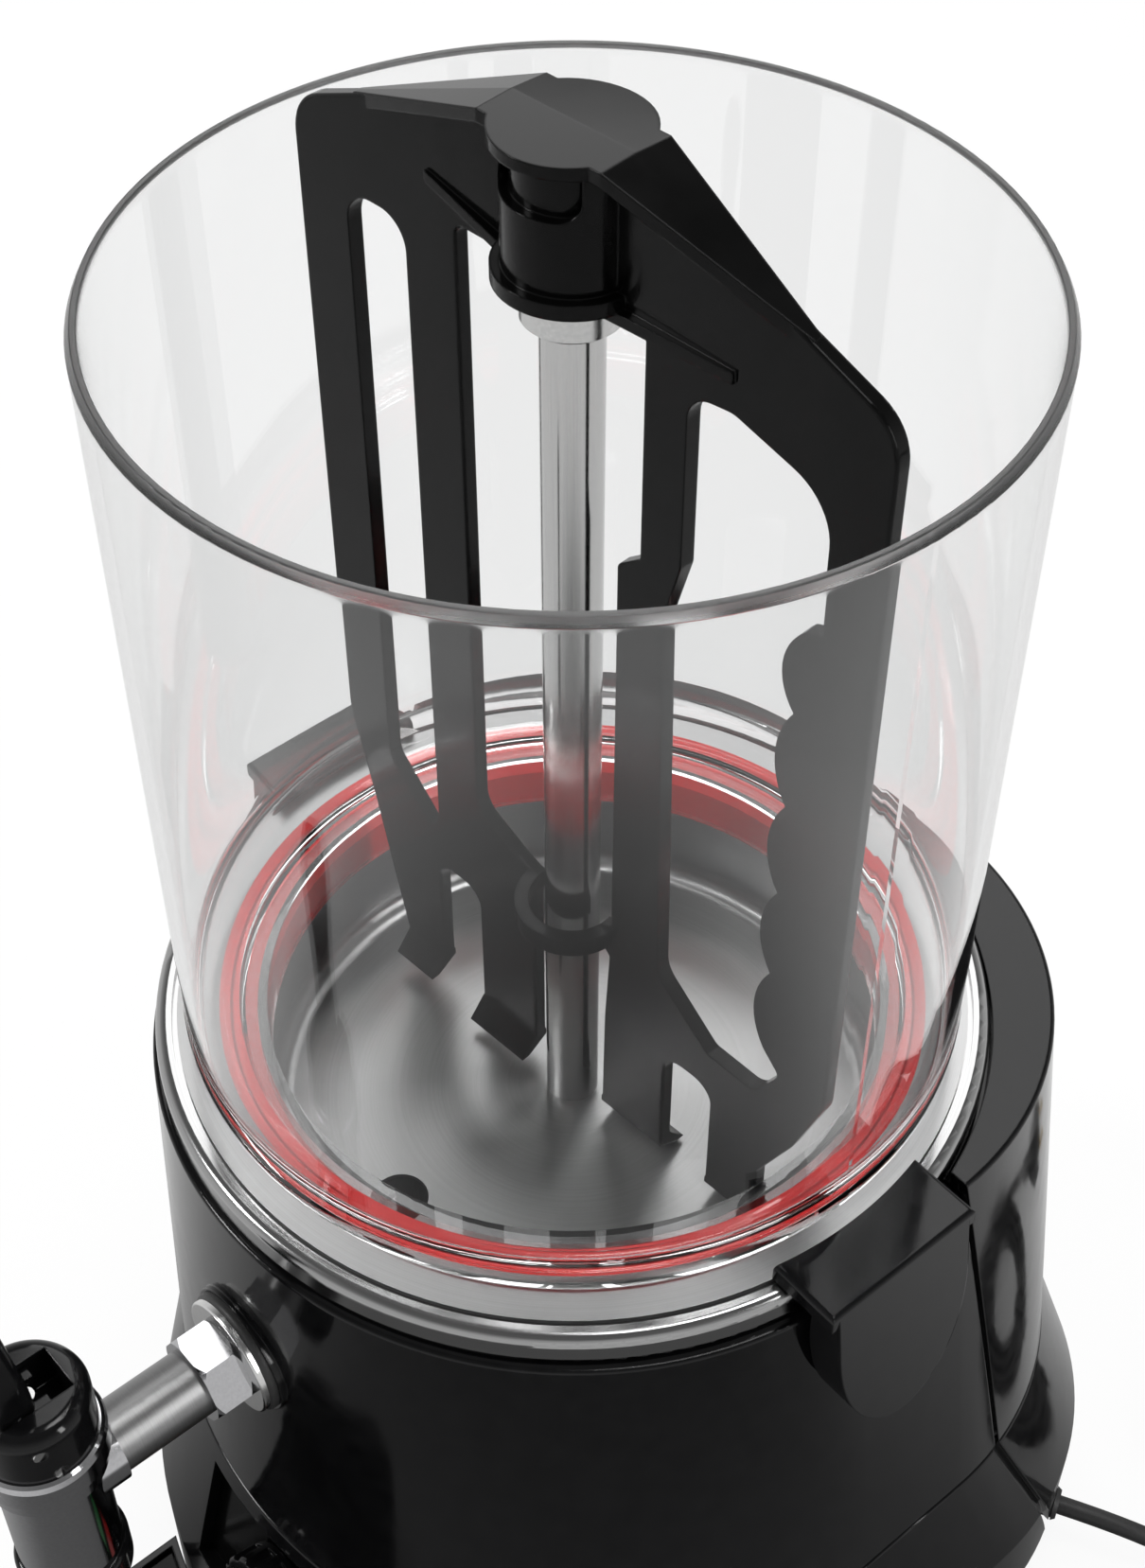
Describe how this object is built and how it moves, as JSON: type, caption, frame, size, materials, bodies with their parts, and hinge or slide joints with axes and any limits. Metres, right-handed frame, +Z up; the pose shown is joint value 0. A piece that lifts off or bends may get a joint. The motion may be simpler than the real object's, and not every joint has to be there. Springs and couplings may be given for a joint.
{
  "type": "chocolate dispenser",
  "caption": "Countertop hot chocolate dispenser: clear open bowl with a turning paddle over a heated pan, lever tap, drip tray, side latches and mains cord.",
  "frame": {"origin": "on the table, under the middle of the machine's footprint from the drip tray's front to the skirt's rear; the bowl's axis stands 38 mm behind it", "axes": "+Z up along the bowl's axis, -Y towards the tap and the user, +X to the user's right"},
  "size_m": [0.3921, 0.5519, 0.572],
  "materials": {
    "clear_plastic": "clear",
    "red_silicone": "satin",
    "stainless": "brushed",
    "black_gloss": "gloss",
    "black_matte": "satin",
    "chrome": "polished",
    "black_rubber": "matt",
    "brass": "turned",
    "zinc_steel": "zinc",
    "white_nylon": "satin",
    "rocker_green": "gloss",
    "rocker_red": "gloss",
    "cream_nylon": "satin"
  },
  "bodies": {
    "machine": {"bowl": "clear_plastic", "bowl_gasket": "red_silicone", "heating_pan": "stainless", "water_jacket": "stainless", "heater_element": "zinc_steel", "thermal_cutout": "zinc_steel", "standpipe": "stainless", "standpipe_collar": "stainless", "upper_bush": "white_nylon", "lower_bush": "white_nylon", "gear_motor": "zinc_steel", "motor_screws": "zinc_steel", "chassis_plate": "zinc_steel", "thrust_pad": "white_nylon", "front_shell": "black_gloss", "rear_cover": "black_gloss", "cover_screws": "stainless", "base_shell": "black_gloss", "rear_skirt": "black_gloss", "base_plate": "zinc_steel", "rubber_feet": "black_rubber", "foot_screws": "zinc_steel", "latch_pins": "stainless", "outlet_pipe": "chrome", "tap_gasket": "black_rubber", "tap_washer": "stainless", "tap_nut": "chrome", "tap_body": "chrome", "spout_collar": "black_gloss", "tap_bonnet": "chrome", "tap_cap": "black_gloss", "cap_screws": "stainless", "lever_pin": "stainless", "tap_spring": "zinc_steel", "control_panel": "black_matte", "heat_switch": "black_matte", "mixer_switch": "black_matte", "thermostat": "cream_nylon", "terminal_block": "cream_nylon", "cord_gland": "black_rubber", "power_cord": "black_rubber", "cord_coil": "black_rubber", "cord_tie": "black_matte", "plug_body": "black_rubber", "plug_pins": "brass"},
    "drive": {"drive_shaft": "stainless", "drive_gear": "white_nylon"},
    "pinion": {"motor_pinion": "brass"},
    "paddle": {"paddle": "black_matte"},
    "latch_right": {"latch_right": "black_gloss"},
    "latch_left": {"latch_left": "black_gloss"},
    "lever": {"tap_lever": "black_gloss"},
    "stem": {"tap_stem": "stainless", "stem_pin": "stainless", "tap_seal": "red_silicone"},
    "knob": {"thermostat_knob": "black_gloss"},
    "heat_key": {"heat_rocker": "rocker_red"},
    "mixer_key": {"mixer_rocker": "rocker_green"},
    "tray": {"drip_tray": "black_gloss"},
    "grid": {"drip_grid": "black_matte"}
  },
  "joints": [
    {"name": "drive_spin", "type": "hinge", "parent": "machine", "child": "drive", "pos_m": [0, 0.038, 0.1275], "axis": [0, 0, 1], "continuous": true},
    {"name": "motor_spin", "type": "hinge", "parent": "machine", "child": "pinion", "pos_m": [0, 0.08, 0.1275], "axis": [0, 0, 1], "continuous": true},
    {"name": "paddle_lift", "type": "slide", "parent": "drive", "child": "paddle", "axis": [0, 0, 1], "range_m": [0, 0.32]},
    {"name": "latch_right_swing", "type": "hinge", "parent": "machine", "child": "latch_right", "pos_m": [0.13487, 0.038, 0.2342], "axis": [0, 1, 0], "range_deg": [0, 50]},
    {"name": "latch_left_swing", "type": "hinge", "parent": "machine", "child": "latch_left", "pos_m": [-0.13487, 0.038, 0.2342], "axis": [0, -1, 0], "range_deg": [0, 50]},
    {"name": "lever_pull", "type": "hinge", "parent": "machine", "child": "lever", "pos_m": [0, -0.1627, 0.2565], "axis": [1, 0, 0], "range_deg": [0, 30.2]},
    {"name": "stem_lift", "type": "slide", "parent": "machine", "child": "stem", "axis": [0, 0, 1], "range_m": [0, 0.0033], "stiffness_N_per_m": 1500, "springref_m": -0.006},
    {"name": "knob_turn", "type": "hinge", "parent": "machine", "child": "knob", "pos_m": [0.01, -0.09608, 0.088], "axis": [0, 0.9637, -0.2669], "range_deg": [0, 270]},
    {"name": "heat_key_rock", "type": "hinge", "parent": "machine", "child": "heat_key", "pos_m": [0.0355, -0.09463, 0.0876], "axis": [1, 0, 0], "range_deg": [0, 14]},
    {"name": "mixer_key_rock", "type": "hinge", "parent": "machine", "child": "mixer_key", "pos_m": [0.054, -0.09463, 0.0876], "axis": [1, 0, 0], "range_deg": [0, 14]},
    {"name": "tray_slide", "type": "slide", "parent": "machine", "child": "tray", "axis": [0, -1, 0], "range_m": [0, 0.11]},
    {"name": "grid_lift", "type": "slide", "parent": "tray", "child": "grid", "axis": [0, 0, 1], "range_m": [0, 0.08]}
  ],
  "couplings": [
    {"joint": "motor_spin", "follows": "drive_spin", "ratio": -2.5},
    {"joint": "lever_pull", "follows": "stem_lift", "rad_per_m": 158.67}
  ]
}
